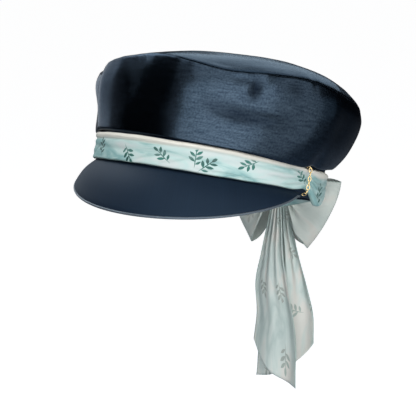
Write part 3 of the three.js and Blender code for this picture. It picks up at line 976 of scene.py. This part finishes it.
def peak_point(angle, along, thick):
    """A point of the peak: along 0 at its root and 1 at its edge, thick 0 on top and 1 underneath."""
    root = Oval(*(reach + GAP for reach in BAND_OUTER))
    share = max(math.cos(angle / PEAK_HALF_ANGLE * math.pi / 2), PEAK_END_SHARE)
    swell = math.sin(along * math.pi) * share
    reach = along * PEAK_REACH * share**PEAK_REACH_FULLNESS + PEAK_SWELL_OUT * swell
    place = oval_point(root, angle, PEAK_ROOT) + oval_out(root, angle) * reach
    wall = PEAK_WALL * lerp(PEAK_END_WALL, 1, math.sqrt(share))
    drop = along * PEAK_DROP * share**PEAK_DROP_FULLNESS + thick * wall
    place.z += PEAK_SWELL_UP * swell - drop
    return place


def peak():
    top = [(i / PEAK_ROWS, 0) for i in range(PEAK_ROWS)]
    under = [(along, 1) for along, _ in reversed(top)]
    bm = spun([*top, *PEAK_RIM, *under], PEAK_STEPS, True, -PEAK_HALF_ANGLE, 2 * PEAK_HALF_ANGLE)
    bmesh.ops.holes_fill(bm, edges=[e for e in bm.edges if e.is_boundary])
    lay(bm, peak_point, PEAK_CUT)
    make_piece("peak_satin", bm, FIRM_SATIN, ["peak"])


def peak_piping():
    """A thin satin-covered cord along the peak's edge, its lighter satin a painted highlight."""
    ring = [i / PIPING_SIDES * TURN for i in range(PIPING_SIDES)]
    section = [(PIPING_RADIUS * math.cos(a), PIPING_RADIUS * math.sin(a)) for a in ring]
    reach = PEAK_HALF_ANGLE * PIPING_REACH

    def place(angle, out, up):
        return peak_point(angle, 1, PIPING_AT) + oval_out(BAND_OUTER, angle) * out + UP * up

    bm = spun(section, PEAK_STEPS, True, -reach, 2 * reach)
    bmesh.ops.holes_fill(bm, edges=[e for e in bm.edges if e.is_boundary])
    lay(bm, place, PIPING_CUT)
    make_piece("peak_piping_satin", bm, EDGE_FINISH_WITH_PAINTED_HIGHLIGHT, [])


# The scarf
scarf_run = smooth_table(SCARF_RUN)


def cinch(angle):
    """How hard a keeper draws the scarf together here."""
    middle = math.degrees(KEEPER_ANGLE)
    return max(bump(angle, side * middle, CINCH_HALF_ANGLE) for side in (1, -1))


def sway(row, angle):
    """A value that rises and falls round the headband."""
    return row.middle + row.most * math.sin(row.waves * angle + row.start)


def scarf_folds(angle, share):
    """How deep the scarf is creased here, under its rolled edge and in its folds."""
    degrees = math.degrees(angle)
    crease = sway(ROLL_CREASE_SWAY, angle)
    depth = ROLL_CREASE_DEPTH * sway(ROLL_SWAY, angle) * bell(share - crease, ROLL_CREASE_HALF)
    for fold in SCARF_FOLDS:
        along = (degrees - fold.start) / (fold.end - fold.start)
        if 0 < along < 1:
            middle = lerp(fold.start_share, fold.end_share, along)
            middle += FOLD_SWAY * math.sin(FOLD_SWAY_WAVES * along + fold.start)
            fade = math.sin(math.pi * along) ** FOLD_FADE
            depth += fold.depth * fade * bell(share - middle, fold.half_width)
    return depth


def scarf_depth(angle, share):
    """How far the scarf's rolled edge and its folds stand from the headband."""
    edge = min(share, 1 - share) / SCARF_EDGE
    depth = SCARF_DEPTH * math.sqrt(1 - (1 - min(edge, 1)) ** 2 * SCARF_EDGE_ROUND)
    depth += ROLL_DEPTH * sway(ROLL_SWAY, angle) * bell(share - ROLL_SHARE, ROLL_HALF)
    return max(depth - scarf_folds(angle, share) - CINCH_DEPTH * cinch(angle), SCARF_LEAST)


def scarf_band():
    outer = [(1, i / SCARF_ROWS) for i in range(SCARF_ROWS + 1)]

    def place(angle, out, share):
        run = scarf_run(abs(angle) / math.pi)
        along = Vector((math.sin(angle), math.cos(angle), 0)) * SPIN_RADIUS / EDGE_WOBBLE_LENGTH
        squeeze = CINCH * cinch(angle)
        low = run.low - bumps(angle, SCARF_SAGS) + squeeze + EDGE_WOBBLE * noise.noise(along)
        high = run.high - squeeze + EDGE_WOBBLE * noise.noise(along + UP * EDGES_APART)
        return on_band(angle, GAP + out * scarf_depth(angle, share), lerp(low, high, share))

    bm = spun([*outer, (0, 1), (0, 0)], SCARF_STEPS, closed=True)
    # Painted shade, set by how deep the scarf is creased
    shade = bm.verts.layers.float.new(FOLD_SHADE)
    for vert in bm.verts:
        angle, out, share = where_spun(vert.co)
        vert[shade] = SCARF_SHADE * min(scarf_folds(angle, share), 1)
    lay(bm, place, SCARF_CUT)
    piece = make_piece("scarf_band_chiffon", bm, SCARF_CHIFFON, ["scarf_band"])


# The chain keepers
def link_mesh():
    """One oval link lying along X."""
    bm = bmesh.new()
    ring = bmesh.ops.create_circle(bm, segments=LINK_WIRE_SIDES, radius=LINK_WIRE)["verts"]
    bmesh.ops.rotate(bm, verts=ring, cent=(0, 0, 0), matrix=Matrix.Rotation(math.pi / 2, 3, "X"))
    bmesh.ops.translate(bm, verts=ring, vec=(LINK_HALF_WIDTH, 0, 0))
    bmesh.ops.spin(
        bm,
        geom=[*bm.verts, *bm.edges],
        cent=(0, 0, 0),
        axis=UP,
        angle=TURN,
        steps=LINK_SIDES,
        use_merge=True,
    )
    bmesh.ops.scale(bm, verts=bm.verts, vec=(LINK_HALF_LENGTH / LINK_HALF_WIDTH, 1, 1))
    bmesh.ops.recalc_face_normals(bm, faces=bm.faces)
    mesh = bpy.data.meshes.new("link")
    bm.to_mesh(mesh)
    bm.free()
    return mesh


def even_points(route, pitch):
    """The places and directions of points along a smooth route, evenly spaced and about a pitch apart."""
    fine = [route(i / ROUTE_STEPS) for i in range(ROUTE_STEPS + 1)]
    reached = [0]
    for a, b in zip(fine, fine[1:]):
        reached.append(reached[-1] + (b - a).length)
    count = round(reached[-1] / pitch)
    for i in range(count):
        wanted = reached[-1] * (i + 0.5) / count
        k = next(k for k, length in enumerate(reached) if length >= wanted)
        yield fine[k], (fine[min(k + 1, ROUTE_STEPS)] - fine[k - 1]).normalized()


def keeper_chain(name, node, side):
    angle = side * KEEPER_ANGLE
    out = oval_out(BAND_OUTER, angle)
    across = Vector((-out.y, out.x, 0))
    rows = smooth_table(KEEPER_ROUTE)

    def route(share):
        here = rows(share)
        return on_band(angle, here.out, here.z)

    link = link_mesh()
    bm = bmesh.new()
    for i, (place, along) in enumerate(even_points(route, LINK_PITCH)):
        lying = Matrix((along, across, along.cross(across))).transposed().to_4x4()
        turned = Matrix.Rotation((1 if i % 2 else -1) * math.pi / 4, 4, "X")
        made = len(bm.verts)
        bm.from_mesh(link)
        bm.verts.ensure_lookup_table()
        bmesh.ops.transform(bm, matrix=Matrix.Translation(place) @ lying @ turned, verts=bm.verts[made:])
    make_piece(name, bm, GOLD, [node])
    bpy.data.meshes.remove(link)


# The bow
def strip_point(station, along, across, seed, loop):
    """A point of a strip of scarf: along it from 0 to 1, and across it from its lower edge to its upper."""
    here = station(along)
    half = Vector((here.wx, here.wy, here.wz))
    side = 2 * across - 1
    place = Vector((here.x, here.y, here.z)) + half * side
    place.x += here.belly * (1 - side * side)
    place.z += abs(here.corner) * ((1 + math.copysign(1, here.corner) * side) / 2) ** HEM_ROUND
    free = math.sin(along * math.pi) if loop else along
    width = 2 * half.length
    slack = math.sqrt(max(CUT_WIDTH**2 - width**2, 0)) / (4 * PLEATS)
    place.y += min(slack, PLEAT_MOST) * (1 - free) ** PLEAT_FADE * math.cos(PLEATS * TURN * across + seed)
    wave = math.sin(BILLOWS * TURN * across + BILLOW_TWIST * along)
    place.y += (LOOP_BILLOW if loop else 1) * BILLOW_DEPTH * wave * free
    shift = Vector((seed * WOBBLES_APART, 0, 0))
    place.y += STRIP_WOBBLE * free * noise.noise(place / STRIP_WOBBLE_LENGTH + shift)
    return place


def strip(row):
    station = smooth_table(row.stations)
    columns, rows = row.grid
    bm = bmesh.new()
    uv = bm.loops.layers.uv.new("UVMap")
    bmesh.ops.create_grid(bm, x_segments=columns, y_segments=rows, size=0.5, calc_uvs=True)
    for face in bm.faces:
        for corner in face.loops:
            u, v = corner[uv].uv
            corner[uv].uv = (u * row.length + row.seed * PRINTS_APART, v * CUT_WIDTH * MM)
    for vert in bm.verts:
        vert.co = strip_point(station, vert.co.x + 0.5, vert.co.y + 0.5, row.seed, row.loop)
    piece = make_piece(row.name, bm, row.finish, [row.node], worn=False)
    thicken(piece, CHIFFON_WALL, 0)


STRIPS = [
    Strip("bow_loop_left_chiffon", "bow_loop_left", LOOP_LEFT, LOOP_GRID, 1, 0.105, LOOPS_CHIFFON_IN_PAINTED_SHADE, True),
    Strip("bow_loop_right_chiffon", "bow_loop_right", LOOP_RIGHT, LOOP_GRID, 2, 0.1, LOOPS_CHIFFON_IN_PAINTED_SHADE, True),
    Strip("bow_tail_left_chiffon", "bow_tail_left", TAIL_LEFT, TAIL_GRID, 3, 0.155, TAIL_CHIFFON, False),
    Strip("bow_tail_right_chiffon", "bow_tail_right", TAIL_RIGHT, TAIL_GRID, 4, 0.157, TAIL_CHIFFON, False),
]


def bow_knot():
    bm = bmesh.new()
    around, rows = KNOT_GRID
    bmesh.ops.create_uvsphere(bm, u_segments=around, v_segments=rows, radius=1, calc_uvs=True)
    for vert in bm.verts:
        pleat = abs(math.sin(KNOT_PLEATS * math.pi * vert.co.x))
        inward = 1 - KNOT_PLEAT_DEPTH * (1 - pleat) / KNOT_HALF.y
        square = [math.copysign(abs(value) ** KNOT_SQUARE, value) for value in vert.co]
        shrink = (1, inward, inward)
        vert.co = KNOT_MIDDLE + Vector(a * b * c for a, b, c in zip(square, KNOT_HALF, shrink))
    make_piece("bow_knot_chiffon", bm, TAIL_CHIFFON, ["bow_knot"], worn=False)


crown_side()
crown_tip()
headband()
peak()
peak_piping()
scarf_band()
keeper_chain("keeper_chain_left_gold", "keeper_chain_left", 1)
keeper_chain("keeper_chain_right_gold", "keeper_chain_right", -1)
bow_knot()
for row in STRIPS:
    strip(row)


# The stage
def toward(azimuth, elevation):
    flat = math.cos(elevation)
    return Vector((math.sin(azimuth) * flat, -math.cos(azimuth) * flat, math.sin(elevation)))


def facing(thing, place, aim):
    thing.location = place
    thing.rotation_mode = "QUATERNION"
    thing.rotation_quaternion = (aim - place).to_track_quat("-Z", "Y")
    bpy.context.scene.collection.objects.link(thing)


def make_camera():
    lens = bpy.data.cameras.new("Camera")
    lens.lens = CAMERA_LENS
    camera = bpy.data.objects.new("Camera", lens)
    back = toward(CAMERA_AZIMUTH, CAMERA_ELEVATION)
    right = Vector((math.cos(CAMERA_AZIMUTH), math.sin(CAMERA_AZIMUTH), 0))
    aim = right * AIM_ACROSS + back.cross(right) * AIM_UP
    facing(camera, back * CAMERA_DISTANCE, aim)
    bpy.context.scene.camera = camera


def make_softbox(row):
    light = bpy.data.lights.new(row.name, "AREA")
    light.shape = "RECTANGLE"
    light.size = row.width
    light.size_y = row.height
    light.energy = row.watts
    light.spread = math.radians(row.spread)
    light.color = row.colour
    box = bpy.data.objects.new(row.name, light)
    place = toward(math.radians(row.azimuth), math.radians(row.elevation)) * row.distance
    facing(box, place, Vector((0, 0, 0)))


def make_sky():
    """A dim studio round the cap, seen as a plain pale backdrop."""
    world = bpy.data.worlds.new("Studio")
    world.use_nodes = True
    tree = world.node_tree
    seen = add(tree, "LightPath").outputs["Is Camera Ray"]
    join(tree, (mix_colours(tree, seen, SKY, BACKDROP), tree.nodes["Background"].inputs["Color"]))
    bpy.context.scene.world = world


def make_floor():
    bm = bmesh.new()
    bmesh.ops.create_grid(bm, x_segments=1, y_segments=1, size=FLOOR_SIZE / 2)
    bmesh.ops.translate(bm, verts=bm.verts, vec=(0, 0, FLOOR_LEVEL))
    mesh = bpy.data.meshes.new("floor")
    bm.to_mesh(mesh)
    bm.free()
    finish, tree, surface = new_finish("Pale floor")
    surface.inputs["Roughness"].default_value = FLOOR_ROUGHNESS
    surface.inputs["Specular IOR Level"].default_value = 0
    seen = add(tree, "LightPath").outputs["Is Camera Ray"]
    surface.inputs["Base Color"].default_value = (*FLOOR_COLOUR, 1)
    surface.inputs["Emission Color"].default_value = (1, 1, 1, 1)
    join(tree, (math_node(tree, "MULTIPLY", seen, FLOOR_GLOW), surface.inputs["Emission Strength"]))
    mesh.materials.append(finish)
    floor = bpy.data.objects.new("floor", mesh)
    bpy.context.scene.collection.objects.link(floor)


make_camera()
for row in LIGHTS:
    make_softbox(row)
make_sky()
make_floor()
bpy.context.scene.view_settings.view_transform = "Standard"
